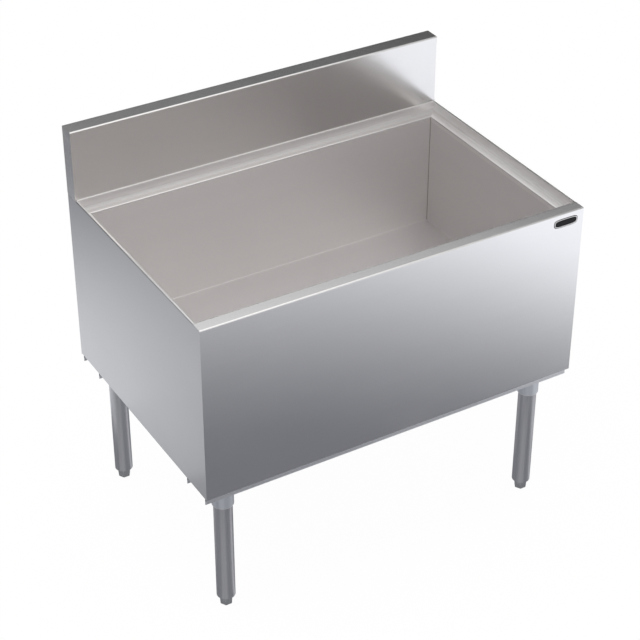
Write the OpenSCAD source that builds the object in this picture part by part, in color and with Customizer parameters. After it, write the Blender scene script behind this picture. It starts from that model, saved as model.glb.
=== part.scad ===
// Underbar ice bin: a drained, insulated tank in a bent sheet-metal shell on four tube legs.
// The origin is on the floor under the middle of the bin. The front faces -Y.

/* [Overall] */
// Width over the two side panels
width = 914.4; // [640:0.1:1500]
// Depth from the front apron to the back of the backsplash
depth = 609.6; // [500:0.1:760]
// Height of the rim above the floor, with the feet screwed right in
rim_height = 767; // [720:1:900]
// Height of the shell, from its bottom edge to the rim
body_height = 419.1; // [390:0.1:460]

/* [Sheet] */
// Thickness of the shell and tank sheet
sheet = 1.2; // [0.9:0.1:1.6]
// Inside radius of the shell's bends
bend_r = 1.5; // [0.8:0.1:2.5]
// Inside radius of the tight bends along the side rims
rim_bend_r = 0.8; // [0.5:0.1:1.2]
// Width of the returns along the bottom edges
return_w = 19; // [15:0.5:24]
// Width of the upright returns behind the front apron and the back panel
corner_return_w = 15; // [10:0.5:20]
// Gap left between sheets that meet in a corner
corner_gap = 0.4; // [0.3:0.1:0.8]

/* [Rim and ledge] */
// Depth of the flat rim along the front
front_rim = 30; // [26:0.5:45]
// Width of the rim along each side
side_rim = 3.2; // [2.8:0.1:5]
// Width of the ledge inside the rim
ledge_w = 21; // [16:0.5:30]
// Height of the rim above the ledge
ledge_drop = 25.4; // [20:0.1:32]
// Radius of the cove where the ledge turns up to the rim
cove_r = 8; // [4:0.5:12]
// Inside radius of the lip where the ledge turns down into the tank
lip_r = 2; // [1:0.1:3]
// Height of the turned-down lip, down to the weld with the tank wall
lip_h = 12; // [8:0.5:20]

/* [Backsplash] */
// Height of the backsplash above the rim
splash_height = 163; // [100:1:260]
// Depth of the backsplash from front to back
splash_depth = 40; // [34:0.5:60]
// Step from the ledge's drop face back to the backsplash face
splash_step = 1.1; // [0.8:0.1:2]
// Width of the flanges that the backsplash stands on
splash_flange = 18; // [14:0.5:18.5]
// Width of the feet turned in along the bottom of the backsplash
splash_return = 12; // [8:0.5:14]
// Distance of the back panel in from the back of the backsplash
back_inset = 1; // [0.4:0.1:2]

/* [Tank] */
// Depth of the tank from the rim to its floor
tank_depth = 305; // [240:1:320]
// Radius between the tank's floor and its front and rear walls
tank_r = 2; // [1:0.1:8]
// Space between the insulation and the sheets around it
foam_gap = 0.3; // [0.2:0.1:0.6]

/* [Drain] */
// Radius of the dished seat in the tank floor
seat_r = 42; // [40:0.5:55]
// Depth of the dished seat
seat_depth = 4; // [4:0.1:6]
// Inside radius of the two bends around the dished seat
seat_bend_r = 1; // [0.5:0.1:1.2]
// Clearance around the drain cup in the tank floor
drain_hole_gap = 0.5; // [0.3:0.1:1]
// Radius of the drain flange
drain_flange_r = 37; // [35:0.5:38]
// Thickness of the drain flange
drain_flange_t = 2; // [1.8:0.1:2.4]
// Outside radius of the drain cup, through the tank floor
drain_cup_r = 28; // [26:0.1:30]
// Depth of the drain cup below its flange
drain_cup_h = 17; // [15.5:0.5:24]
// Thickness of the drain cup's floor and of its neck
drain_wall = 3; // [2:0.1:4]
// Height of the cone between the drain cup and its neck
drain_cone_h = 3; // [2:0.5:5]
// Fall of the drain cup's floor towards the pipe
drain_fall = 1; // [0.5:0.1:2]
// Outside radius of the drain pipe
drain_pipe_r = 16.7; // [14:0.1:18]
// Wall of the drain pipe
drain_pipe_wall = 3.4; // [2:0.1:4]
// Length of drain pipe below the bottom pan
drain_pipe_drop = 48; // [40:1:80]
// Length of the pipe's outlet end, which a hose or coupling goes over
drain_end_l = 25; // [15:1:35]
// How much smaller in radius that end is than the pipe
drain_end_relief = 0.2; // [0.1:0.1:0.5]
// How far the drain pipe screws into the neck of the cup
drain_neck_h = 14; // [10:0.5:20]
// Clearance around the drain pipe in the bottom pan and the insulation
pipe_hole_gap = 2; // [1:0.5:4]
// Thickness of the drain gasket
gasket_t = 3; // [2:0.1:4]
// Thickness of the drain locknut
locknut_t = 8; // [6:0.5:9]
// Size of the drain locknut across its flats
locknut_af = 76; // [70:1:84]
// Room left in the insulation around the locknut and the neck
pocket_gap = 2; // [1:0.5:6]
// Radius of the lift-out strainer plate
strainer_r = 24; // [22:0.1:24.5]
// Thickness of the strainer plate
strainer_t = 1.5; // [1:0.1:2]
// Height of the skirt that centres the strainer in the cup
strainer_skirt_h = 6; // [4:0.5:9]
// Clearance around the strainer in the cup
strainer_gap = 0.4; // [0.3:0.1:0.8]
// Width of the step that carries the strainer
strainer_step = 1.4; // [1:0.1:2]
// Radius of the strainer's holes
strainer_hole_r = 1.8; // [1:0.1:2.4]
// Distance between the rings of strainer holes
strainer_pitch = 6.2; // [5.5:0.1:8]

/* [Leg channels] */
// Width of the channels from front to back
channel_w = 82.2; // [78:0.1:95]
// Depth of the channel flanges
channel_h = 17; // [12:0.5:25]
// Thickness of the channel sheet
channel_sheet = 2; // [1.5:0.1:3]
// Inside radius of the channel's bends
channel_bend_r = 2; // [1:0.1:3]
// Distance of the front channel behind the apron face
front_channel_inset = 10.4; // [6:0.1:14]
// Distance of the rear channel in from the back of the backsplash
rear_channel_inset = 6.6; // [5:0.1:10]
// Distance of the channel ends in from the outside of the side panels
channel_end_inset = 2.5; // [1:0.1:6]

/* [Legs] */
// Outside diameter of the leg tube
leg_od = 41.3; // [38:0.1:42]
// Wall of the leg tube
leg_wall = 1.5; // [1.2:0.1:2.5]
// Distance from the outside of a side panel to the leg's centre
leg_side_inset = 65.7; // [45:0.1:90]
// Distance of the leg's centre behind the middle of its channel
leg_offset = 6.5; // [0:0.1:7]
// Wall of the leg socket
socket_wall = 2.9; // [2.5:0.1:3.1]
// How far the socket reaches below the shell's bottom edge
socket_drop = 70; // [60:1:100]
// Radius of the plate welded to the top of the socket
socket_plate_r = 31; // [29:0.5:32]
// Thickness of that plate
socket_plate_t = 3; // [2:0.1:4]
// Radius of the set screw in the socket
set_screw_r = 4; // [3:0.1:5]
// Height of the set screw above the socket's lower edge
set_screw_h = 20; // [12:0.5:30]
// How far the set screw stands out of the socket
set_screw_proud = 1; // [0:0.1:2]
// Depth of the key hole in the set screw
key_depth = 2; // [1:0.1:2.5]

/* [Feet] */
// Height of the foot below the leg tube
foot_h = 24; // [18:0.5:32]
// Radius of the foot over its corners at the top
foot_top_r = 16; // [14:0.1:17]
// Radius of the foot over its corners at the floor
foot_bottom_r = 14.3; // [12:0.1:15]
// Radius of the levelling stud
stud_r = 6.35; // [5:0.05:8]
// Length of the levelling stud
stud_l = 45; // [42:1:60]
// Height of the plug in the end of the leg
plug_h = 35; // [30:1:40]

/* [Fits] */
// Clearance around the leg in its socket
socket_gap = 0.25; // [0.15:0.05:0.4]
// Running clearance around the stud
stud_gap = 0.05; // [0.02:0.01:0.1]
// Clearance between pieces that are screwed or pressed together
close_fit = 0.1; // [0.05:0.01:0.15]
// Gap between a seated piece and its seat
seat_gap = 0.3; // [0.2:0.1:0.5]

/* [Hidden] */
$fn = 64;
slack = 1;
front_y = -depth / 2;
back_y = depth / 2;
side_x = width / 2;
bottom_z = rim_height - body_height;

// Inner faces of the ledge and of the tank
drop_x = side_x - side_rim;
lip_x = drop_x - ledge_w;
splash_y = back_y - splash_depth;
drop_y = splash_y - splash_step;
lip_y = drop_y - ledge_w;
tank_front_y = front_y + front_rim;
ledge_z = rim_height - ledge_drop;
weld_z = ledge_z - lip_h;
floor_z = rim_height - tank_depth;
back_face_y = back_y - back_inset;
pan_z = bottom_z + sheet;

// Drain, centred in the tank floor
drain_y = (tank_front_y + lip_y) / 2;
seat_z = floor_z - seat_depth;
seat_edge_r = seat_r + 2 * (seat_bend_r + sheet);
drain_hole_r = drain_cup_r + drain_hole_gap;
recess_r = strainer_r + strainer_gap;
cup_bore_r = recess_r - strainer_step;
cup_bottom_z = seat_z - drain_cup_h;
neck_bore_r = drain_pipe_r + close_fit;
neck_r = neck_bore_r + drain_wall;
neck_bottom_z = cup_bottom_z - drain_neck_h;
pipe_bore_r = drain_pipe_r - drain_pipe_wall;
pipe_bottom_z = pan_z - drain_pipe_drop;
pipe_top_z = cup_bottom_z - close_fit;
gasket_z = seat_z - sheet - gasket_t;
locknut_z = gasket_z - locknut_t;
locknut_r = locknut_af / 2 / cos(30);

// Legs and feet
leg_r = leg_od / 2;
web_z = bottom_z - channel_sheet;
socket_z = bottom_z - socket_drop;
socket_bore_r = leg_r + socket_gap;
socket_r = socket_bore_r + socket_wall;
plug_r = leg_r - leg_wall - close_fit;
leg_x = side_x - leg_side_inset;
front_leg_y = front_y + front_channel_inset + channel_w / 2 + leg_offset;
rear_leg_y = back_y - rear_channel_inset - channel_w / 2 + leg_offset;
leg_spots = [[-leg_x, front_leg_y], [leg_x, front_leg_y], [-leg_x, rear_leg_y], [leg_x, rear_leg_y]];

STAINLESS = [0.72, 0.72, 0.73];
LINER = [0.66, 0.64, 0.62];
TUBE = [0.52, 0.52, 0.54];
FOOT = [0.45, 0.46, 0.45];
FOAM = [0.93, 0.86, 0.66];
RUBBER = [0.12, 0.12, 0.12];
PLUG = [0.2, 0.2, 0.21];

// Geometry of a bent sheet: its face follows a path of corner points, its body lies left of the path.
function unit(v) = v / norm(v);
function left_of(v) = [-v.y, v.x];
function along(path, i) = unit(path[i + 1] - path[i]);
function turn(path, i) = cross(along(path, i - 1), along(path, i));
function is_bend(path, i) = i > 0 && i < len(path) - 1;
function face_r(path, radii, t, i) = radii[i - 1] + (turn(path, i) > 0 ? t : 0);
function setback(path, radii, t, i) =
    is_bend(path, i) ? face_r(path, radii, t, i) * tan(acos(along(path, i - 1) * along(path, i)) / 2) : 0;

module sheet_flat(path, radii, t, i) {
    dir = along(path, i);
    from = path[i] + dir * setback(path, radii, t, i);
    to = path[i + 1] - dir * setback(path, radii, t, i + 1);
    polygon([from, to, to + left_of(dir) * t, from + left_of(dir) * t]);
}

module sheet_bend(path, radii, t, i) {
    side = turn(path, i) > 0 ? 1 : -1;
    inner = radii[i - 1];
    outer = inner + t;
    start = path[i] - along(path, i - 1) * setback(path, radii, t, i);
    centre = start + left_of(along(path, i - 1)) * side * face_r(path, radii, t, i);
    a = -side * left_of(along(path, i - 1));
    b = -side * left_of(along(path, i));
    translate(centre)
        intersection() {
            difference() {
                circle(r = outer);
                circle(r = inner);
            }
            polygon([[0, 0], a * outer, (a + b) * outer / (1 + a * b), b * outer]);
        }
}

module bent_sheet(path, radii, t = sheet) {
    for (i = [0 : len(path) - 2])
        sheet_flat(path, radii, t, i);
    for (i = [1 : len(path) - 2])
        sheet_bend(path, radii, t, i);
}

// A profile drawn in Y and Z, carried across the bin
module across(length) {
    rotate([90, 0, 90])
        linear_extrude(length, center = true)
            children();
}

// A profile drawn in X and Z, carried from one Y to another
module front_to_back(from, to) {
    translate([0, to, 0])
        rotate([90, 0, 0])
            linear_extrude(to - from)
                children();
}

// A block between two corners
module block(low, high) {
    translate(low)
        cube(high - low);
}

module both_sides() {
    children();
    mirror([1, 0, 0])
        children();
}

// Room at both ends of an apron or back panel for the edges of the side panels
module end_relief(from_y, to_y) {
    both_sides()
        block([side_x - sheet, from_y, bottom_z - slack], [side_x + slack, to_y, rim_height - sheet]);
}

module front_apron() {
    color(STAINLESS)
        difference() {
            across(width)
                bent_sheet([
                    [tank_front_y, weld_z],
                    [tank_front_y, rim_height],
                    [front_y, rim_height],
                    [front_y, bottom_z],
                    [front_y + return_w, bottom_z],
                ], [bend_r, bend_r, bend_r]);
            end_relief(front_y + sheet, tank_front_y + slack);
        }
}

module side_panel() {
    inside_x = -side_x + sheet;
    rear_y = back_face_y - sheet;
    return_from = front_y + return_w + corner_gap;
    return_to = back_face_y - return_w - corner_gap;
    return_top = bottom_z + sheet + bend_r;
    upright_low = return_top + corner_gap;
    upright_high = rim_height - sheet - bend_r - corner_gap;
    difference() {
        front_to_back(front_y + sheet, rear_y)
            bent_sheet([
                [-drop_x, rim_height],
                [-side_x, rim_height],
                [-side_x, bottom_z],
                [-side_x + return_w, bottom_z],
            ], [rim_bend_r, bend_r]);
        // the front rim and the backsplash flanges lie over the panel's top edge
        for (span = [[front_y, tank_front_y], [drop_y, back_y]])
            block([-side_x - slack, span[0], rim_height - sheet], [-drop_x + slack, span[1], rim_height + slack]);
        // the bottom return stops short of those of the apron and the back panel
        for (span = [[front_y, return_from], [return_to, back_y]])
            block([inside_x, span[0], bottom_z - slack], [-side_x + return_w + slack, span[1], return_top]);
    }
    for (y = [front_y + sheet, rear_y - sheet])
        block([-side_x + sheet / 2, y, upright_low], [-side_x + corner_return_w, y + sheet, upright_high]);
}

module left_side_panel() {
    color(STAINLESS)
        side_panel();
}

module right_side_panel() {
    color(STAINLESS)
        mirror([1, 0, 0])
            side_panel();
}

module back_panel() {
    color(STAINLESS)
        difference() {
            across(width)
                bent_sheet([
                    [back_face_y - return_w, bottom_z],
                    [back_face_y, bottom_z],
                    [back_face_y, rim_height],
                    [back_face_y - splash_flange, rim_height],
                ], [bend_r, bend_r]);
            end_relief(back_face_y - return_w - slack, back_face_y - sheet);
        }
}

module bottom_pan() {
    edge_x = side_x - sheet - bend_r - corner_gap;
    color(STAINLESS)
        difference() {
            block(
                [-edge_x, front_y + 2 * sheet + bend_r, pan_z],
                [edge_x, back_face_y - 2 * sheet - bend_r, pan_z + sheet]
            );
            translate([0, drain_y, pan_z - slack])
                cylinder(h = sheet + 2 * slack, r = drain_pipe_r + pipe_hole_gap);
        }
}

// The backsplash is a closed box standing on the ledge flange and the back panel's flange
module backsplash_shell() {
    color(STAINLESS)
        across(width - 2 * sheet)
            bent_sheet([
                [back_y - splash_return, rim_height],
                [back_y, rim_height],
                [back_y, rim_height + splash_height],
                [splash_y, rim_height + splash_height],
                [splash_y, rim_height],
                [splash_y + splash_return, rim_height],
            ], [bend_r, bend_r, bend_r, bend_r]);
}

module rounded_plate(low, high, r) {
    translate([low.x + r, low.y])
        square([high.x - low.x - 2 * r, high.y - low.y]);
    translate([low.x, low.y + r])
        square([high.x - low.x, high.y - low.y - 2 * r]);
    for (x = [low.x + r, high.x - r], y = [low.y + r, high.y - r])
        translate([x, y])
            circle(r = r);
}

module backsplash_end(side) {
    color(STAINLESS)
        translate([side * (side_x - sheet / 2), 0, 0])
            across(sheet)
                rounded_plate([splash_y, rim_height], [back_y, rim_height + splash_height], bend_r + sheet);
}

module backsplash_end_left() {
    backsplash_end(-1);
}

module backsplash_end_right() {
    backsplash_end(1);
}

// Ledge section, drawn outwards to -X from the tank's inner face
ledge_face = [[0, weld_z], [0, ledge_z], [-ledge_w, ledge_z]];

module ledge_side() {
    reach = ledge_w + 2 * sheet;
    color(STAINLESS)
        intersection() {
            translate([-lip_x, 0, 0])
                front_to_back(tank_front_y, drop_y + 2 * sheet)
                    bent_sheet(concat(ledge_face, [[-ledge_w, rim_height - sheet]]), [lip_r, cove_r]);
            // mitred into the rear ledge at 45 degrees
            translate([-lip_x, 0, weld_z - slack])
                linear_extrude(rim_height)
                    polygon([
                        [slack, tank_front_y],
                        [slack, lip_y - slack],
                        [-reach, lip_y + reach],
                        [-reach, tank_front_y],
                    ]);
        }
}

module ledge_left() {
    ledge_side();
}

module ledge_right() {
    mirror([1, 0, 0])
        ledge_side();
}

module ledge_rear() {
    bend_end = ledge_w + rim_bend_r + sheet;
    color(STAINLESS) {
        intersection() {
            translate([0, lip_y, 0])
                across(width)
                    mirror([1, 0])
                        bent_sheet(
                            concat(ledge_face, [[-ledge_w, rim_height], [-ledge_w - splash_flange, rim_height]]),
                            [lip_r, cove_r, rim_bend_r]
                        );
            translate([0, lip_y, weld_z - slack])
                linear_extrude(rim_height)
                    polygon([
                        [-lip_x + slack, -slack],
                        [lip_x - slack, -slack],
                        [lip_x + bend_end, bend_end],
                        [-lip_x - bend_end, bend_end],
                    ]);
        }
        // the flange under the backsplash runs out over both side panels
        block([-side_x, lip_y + bend_end, rim_height - sheet], [side_x, drop_y + splash_flange, rim_height]);
    }
}

// Outline of the tank's section, grown outwards by the given distance
module tank_section(grow, top) {
    r = tank_r + grow;
    low_y = tank_front_y - grow;
    high_y = lip_y + grow;
    low_z = floor_z - grow;
    translate([low_y, low_z + r])
        square([high_y - low_y, top - low_z - r]);
    translate([low_y + r, low_z])
        square([high_y - low_y - 2 * r, r + slack]);
    for (y = [low_y + r, high_y - r])
        translate([y, low_z + r])
            circle(r = r);
}

module tank_wrap() {
    color(LINER) {
        difference() {
            across(2 * lip_x)
                bent_sheet([
                    [lip_y, weld_z],
                    [lip_y, floor_z],
                    [tank_front_y, floor_z],
                    [tank_front_y, weld_z],
                ], [tank_r, tank_r]);
            translate([0, drain_y, floor_z - 2 * sheet])
                cylinder(h = 4 * sheet, r = seat_edge_r);
        }
        // the dished seat of the drain
        translate([0, drain_y, 0])
            rotate_extrude()
                bent_sheet([
                    [seat_edge_r, floor_z],
                    [seat_r, floor_z],
                    [seat_r, seat_z],
                    [drain_hole_r, seat_z],
                ], [seat_bend_r, seat_bend_r]);
    }
}

module tank_end(side) {
    color(LINER)
        translate([side * (lip_x + sheet / 2), 0, 0])
            across(sheet)
                tank_section(sheet, weld_z);
}

module tank_end_left() {
    tank_end(-1);
}

module tank_end_right() {
    tank_end(1);
}

// Foam fills the shell round the tank, up to the undersides of the rim and the ledge
module insulation() {
    gap = foam_gap;
    apron_leg_y = tank_front_y - sheet - gap;
    lip_reach = sheet + lip_r + gap;
    low_y = front_y + 2 * sheet + bend_r + gap;
    high_y = back_face_y - 2 * sheet - bend_r - gap;
    foam_x = side_x - sheet - bend_r - gap;
    foam_z = ledge_z - sheet - gap;
    top_z = rim_height - sheet - bend_r - gap;
    color(FOAM)
        difference() {
            union() {
                block([-foam_x, low_y, pan_z + sheet], [foam_x, high_y, foam_z]);
                block([-foam_x, low_y, foam_z - slack], [foam_x, tank_front_y - sheet - bend_r - gap, top_z]);
                block([-foam_x, drop_y + sheet + rim_bend_r + gap, foam_z - slack], [foam_x, high_y, top_z]);
            }
            across(2 * (lip_x + sheet + gap))
                tank_section(sheet + gap, rim_height);
            // room for the bend of the lip, and for the apron's inner leg past the tank
            block(
                [-lip_x - lip_reach, apron_leg_y, ledge_z - lip_reach],
                [lip_x + lip_reach, lip_y + lip_reach, rim_height]
            );
            block([-side_x, apron_leg_y, weld_z - gap], [side_x, tank_front_y + gap, rim_height]);
            translate([0, drain_y, neck_bottom_z - pocket_gap])
                cylinder(h = floor_z - neck_bottom_z + pocket_gap, r = locknut_r + pocket_gap);
            translate([0, drain_y, pan_z])
                cylinder(h = tank_depth, r = drain_pipe_r + pipe_hole_gap);
        }
}

// The cup carries the strainer on a step and takes the drain pipe in its neck
module drain_cup() {
    top = seat_z + drain_flange_t;
    step_z = top - strainer_t - seat_gap;
    color(STAINLESS)
        translate([0, drain_y, 0])
            rotate_extrude()
                polygon([
                    [recess_r, top],
                    [drain_flange_r, top],
                    [drain_flange_r, seat_z],
                    [drain_cup_r, seat_z],
                    [drain_cup_r, cup_bottom_z],
                    [neck_r, cup_bottom_z - drain_cone_h],
                    [neck_r, neck_bottom_z],
                    [neck_bore_r, neck_bottom_z],
                    [neck_bore_r, cup_bottom_z],
                    [pipe_bore_r, cup_bottom_z],
                    [pipe_bore_r, cup_bottom_z + drain_wall],
                    [cup_bore_r, cup_bottom_z + drain_wall + drain_fall],
                    [cup_bore_r, step_z],
                    [recess_r, step_z],
                ]);
}

module drain_gasket() {
    color(RUBBER)
        translate([0, drain_y, gasket_z])
            difference() {
                cylinder(h = gasket_t, r = drain_flange_r);
                translate([0, 0, -slack])
                    cylinder(h = gasket_t + 2 * slack, r = drain_cup_r + seat_gap);
            }
}

module drain_locknut() {
    color(STAINLESS)
        translate([0, drain_y, locknut_z])
            difference() {
                cylinder(h = locknut_t, r = locknut_r, $fn = 6);
                translate([0, 0, -slack])
                    cylinder(h = locknut_t + 2 * slack, r = drain_cup_r + close_fit);
            }
}

module drain_pipe() {
    color(STAINLESS)
        translate([0, drain_y, pipe_bottom_z])
            difference() {
                union() {
                    translate([0, 0, drain_end_l])
                        cylinder(h = pipe_top_z - pipe_bottom_z - drain_end_l, r = drain_pipe_r);
                    cylinder(h = drain_end_l, r = drain_pipe_r - drain_end_relief);
                }
                translate([0, 0, -slack])
                    cylinder(h = tank_depth, r = pipe_bore_r);
            }
}

// A perforated plate with a short skirt that centres it in the cup
module drain_strainer() {
    plate_z = seat_z + drain_flange_t - strainer_t;
    skirt_r = cup_bore_r - strainer_gap;
    skirt_bore_r = skirt_r - sheet;
    rings = floor((skirt_bore_r - strainer_hole_r) / strainer_pitch);
    color(STAINLESS)
        translate([0, drain_y, plate_z])
            difference() {
                union() {
                    cylinder(h = strainer_t, r = strainer_r);
                    translate([0, 0, -strainer_skirt_h])
                        difference() {
                            cylinder(h = strainer_skirt_h, r = skirt_r);
                            translate([0, 0, -slack])
                                cylinder(h = strainer_skirt_h + slack, r = skirt_bore_r);
                        }
                }
                for (ring = [0 : rings], i = [0 : max(0, 6 * ring - 1)])
                    rotate([0, 0, ring == 0 ? 0 : 60 * i / ring])
                        translate([ring * strainer_pitch, 0, -slack])
                            cylinder(h = strainer_t + 2 * slack, r = strainer_hole_r, $fn = 24);
            }
}

// Channels open downwards carry the legs across the width of the shell
module leg_channel(from_y) {
    color(STAINLESS)
        across(width - 2 * channel_end_inset)
            bent_sheet([
                [from_y + channel_w, bottom_z - channel_h],
                [from_y + channel_w, bottom_z],
                [from_y, bottom_z],
                [from_y, bottom_z - channel_h],
            ], [channel_bend_r, channel_bend_r], channel_sheet);
}

module front_leg_channel() {
    leg_channel(front_y + front_channel_inset);
}

module rear_leg_channel() {
    leg_channel(back_y - rear_channel_inset - channel_w);
}

module leg_socket(i) {
    color(TUBE)
        translate([leg_spots[i].x, leg_spots[i].y, 0])
            difference() {
                union() {
                    translate([0, 0, socket_z])
                        cylinder(h = web_z - socket_z, r = socket_r);
                    translate([0, 0, web_z - socket_plate_t])
                        cylinder(h = socket_plate_t, r = socket_plate_r);
                }
                translate([0, 0, socket_z - slack])
                    cylinder(h = web_z - socket_z + 2 * slack, r = socket_bore_r);
                translate([0, 0, socket_z + set_screw_h])
                    rotate([-90, 0, 0])
                        cylinder(h = socket_r + slack, r = set_screw_r + close_fit);
            }
}

module leg_socket_front_left() {
    leg_socket(0);
}

module leg_socket_front_right() {
    leg_socket(1);
}

module leg_socket_rear_left() {
    leg_socket(2);
}

module leg_socket_rear_right() {
    leg_socket(3);
}

// Each set screw bears on its leg from behind
module socket_set_screws() {
    tip = leg_r + close_fit;
    head = socket_r + set_screw_proud;
    color(TUBE)
        for (spot = leg_spots)
            translate([spot.x, spot.y, socket_z + set_screw_h])
                rotate([-90, 0, 0])
                    difference() {
                        translate([0, 0, tip])
                            cylinder(h = head - tip, r = set_screw_r);
                        translate([0, 0, head - key_depth])
                            cylinder(h = key_depth + slack, r = set_screw_r / 2, $fn = 6);
                    }
}

module leg(i) {
    color(TUBE)
        translate([leg_spots[i].x, leg_spots[i].y, foot_h])
            difference() {
                cylinder(h = web_z - seat_gap - foot_h, r = leg_r);
                translate([0, 0, -slack])
                    cylinder(h = rim_height, r = leg_r - leg_wall);
            }
}

module leg_front_left() {
    leg(0);
}

module leg_front_right() {
    leg(1);
}

module leg_rear_left() {
    leg(2);
}

module leg_rear_right() {
    leg(3);
}

module leg_plug(i) {
    color(PLUG)
        translate([leg_spots[i].x, leg_spots[i].y, foot_h])
            difference() {
                cylinder(h = plug_h, r = plug_r);
                translate([0, 0, -slack])
                    cylinder(h = plug_h + 2 * slack, r = stud_r + stud_gap);
            }
}

module leg_plug_front_left() {
    leg_plug(0);
}

module leg_plug_front_right() {
    leg_plug(1);
}

module leg_plug_rear_left() {
    leg_plug(2);
}

module leg_plug_rear_right() {
    leg_plug(3);
}

// A six-sided foot that narrows towards the floor, on a stud that screws up into the plug
module foot(i) {
    head_h = foot_h - seat_gap;
    bottom_flat = foot_bottom_r * cos(30);
    taper = atan((foot_top_r * cos(30) - bottom_flat) / head_h);
    color(FOOT)
        translate([leg_spots[i].x, leg_spots[i].y, 0]) {
            difference() {
                cylinder(h = head_h, r = foot_top_r, $fn = 6);
                for (k = [0 : 5])
                    rotate([0, 0, 60 * k + 30])
                        translate([bottom_flat, 0, 0])
                            rotate([0, taper, 0])
                                translate([0, -foot_top_r, -2 * slack])
                                    cube([foot_top_r, 2 * foot_top_r, 2 * foot_h]);
            }
            translate([0, 0, head_h - slack])
                cylinder(h = stud_l + slack, r = stud_r);
        }
}

module foot_front_left() {
    foot(0);
}

module foot_front_right() {
    foot(1);
}

module foot_rear_left() {
    foot(2);
}

module foot_rear_right() {
    foot(3);
}

front_apron();
left_side_panel();
right_side_panel();
back_panel();
bottom_pan();
backsplash_shell();
backsplash_end_left();
backsplash_end_right();
ledge_left();
ledge_right();
ledge_rear();
tank_wrap();
tank_end_left();
tank_end_right();
insulation();
drain_cup();
drain_gasket();
drain_locknut();
drain_pipe();
drain_strainer();
front_leg_channel();
rear_leg_channel();
leg_socket_front_left();
leg_socket_front_right();
leg_socket_rear_left();
leg_socket_rear_right();
socket_set_screws();
leg_front_left();
leg_front_right();
leg_rear_left();
leg_rear_right();
leg_plug_front_left();
leg_plug_front_right();
leg_plug_rear_left();
leg_plug_rear_right();
foot_front_left();
foot_front_right();
foot_rear_left();
foot_rear_right();
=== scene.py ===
"""Underbar ice bin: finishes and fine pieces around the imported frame, with a pale studio.

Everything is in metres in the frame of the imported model: the origin is on the floor under
the middle of the bin, +Z is up and the front faces -Y. New shapes are worked out in
millimetres, and become metres as they go into their meshes.
"""
import math

import bpy
import numpy as np
from mathutils import Matrix, Vector


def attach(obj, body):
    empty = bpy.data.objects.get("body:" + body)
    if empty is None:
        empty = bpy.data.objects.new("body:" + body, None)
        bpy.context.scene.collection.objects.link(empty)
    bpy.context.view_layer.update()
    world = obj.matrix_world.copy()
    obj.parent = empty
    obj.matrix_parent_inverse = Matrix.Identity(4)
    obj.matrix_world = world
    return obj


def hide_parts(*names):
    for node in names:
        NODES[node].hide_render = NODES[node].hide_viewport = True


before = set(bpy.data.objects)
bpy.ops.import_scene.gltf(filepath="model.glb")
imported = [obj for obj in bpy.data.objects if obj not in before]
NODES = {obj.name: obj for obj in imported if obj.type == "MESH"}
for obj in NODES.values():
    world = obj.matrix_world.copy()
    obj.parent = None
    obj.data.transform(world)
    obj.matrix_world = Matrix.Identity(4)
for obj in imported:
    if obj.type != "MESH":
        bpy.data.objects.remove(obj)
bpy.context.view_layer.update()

MM = 0.001
ACROSS, DEEP, UP = range(3)
LEG_AT = {
    "front_left": (-391.5, -246.8), "front_right": (391.5, -246.8),
    "rear_left": (-391.5, 263.6), "rear_right": (391.5, 263.6),
}
CORNERS = tuple(LEG_AT)


# Camera, above the bin and before its left corner

CAMERA_AT = Vector((-1.73419, -2.90776, 2.74177))
CAMERA_TURN = math.radians(-30.670)
CAMERA_RISE = math.radians(33.984)
CAMERA_ROLL = math.radians(0.088)
SENSOR_W = 36.0
FOCAL = 103.485


def make_camera():
    """The camera's back axis is the unit vector of its turn and rise; right and up follow, then roll."""
    data = bpy.data.cameras.new("camera")
    data.sensor_width = SENSOR_W
    data.lens = FOCAL
    back = Vector((
        math.sin(CAMERA_TURN) * math.cos(CAMERA_RISE),
        -math.cos(CAMERA_TURN) * math.cos(CAMERA_RISE),
        math.sin(CAMERA_RISE),
    ))
    right = Vector((math.cos(CAMERA_TURN), math.sin(CAMERA_TURN), 0))
    up = back.cross(right)
    rolled_right = math.cos(CAMERA_ROLL) * right + math.sin(CAMERA_ROLL) * up
    rolled_up = math.cos(CAMERA_ROLL) * up - math.sin(CAMERA_ROLL) * right
    camera = bpy.data.objects.new("camera", data)
    camera.matrix_world = Matrix.Translation(CAMERA_AT) @ Matrix((
        (rolled_right.x, rolled_up.x, back.x, 0),
        (rolled_right.y, rolled_up.y, back.y, 0),
        (rolled_right.z, rolled_up.z, back.z, 0),
        (0, 0, 0, 1),
    ))
    bpy.context.scene.collection.objects.link(camera)
    bpy.context.scene.camera = camera


# Surfaces worked out as whole arrays

SHARP_FROM = 50


def grid_faces(rows, columns, wrap_columns=False, wrap_rows=False):
    """Four-sided faces of a grid of points numbered row by row, wrapped round where asked."""
    r = np.arange(rows if wrap_rows else rows - 1)
    c = np.arange(columns if wrap_columns else columns - 1)
    r, c = np.meshgrid(r, c, indexing="ij")
    r_next, c_next = (r + 1) % rows, (c + 1) % columns
    corners = (r * columns + c, r * columns + c_next, r_next * columns + c_next, r_next * columns + c)
    return np.stack(corners, axis=-1).reshape(-1, 4)


def ring_surface(rings):
    """Points and faces of a closed skin over rings of points.

    Each end ring is closed by a fan of three-sided faces round the mean of its points.
    """
    rows, columns = rings.shape[:2]
    points = np.concatenate([rings.reshape(-1, 3), rings[:1].mean(axis=1), rings[-1:].mean(axis=1)])
    this = np.arange(columns)
    after = (this + 1) % columns
    last = (rows - 1) * columns
    first_fan = np.stack([np.full(columns, rows * columns), after, this], axis=-1)
    last_fan = np.stack([np.full(columns, rows * columns + 1), last + this, last + after], axis=-1)
    faces = grid_faces(rows, columns, wrap_columns=True).tolist() + first_fan.tolist() + last_fan.tolist()
    return points, faces


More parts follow.
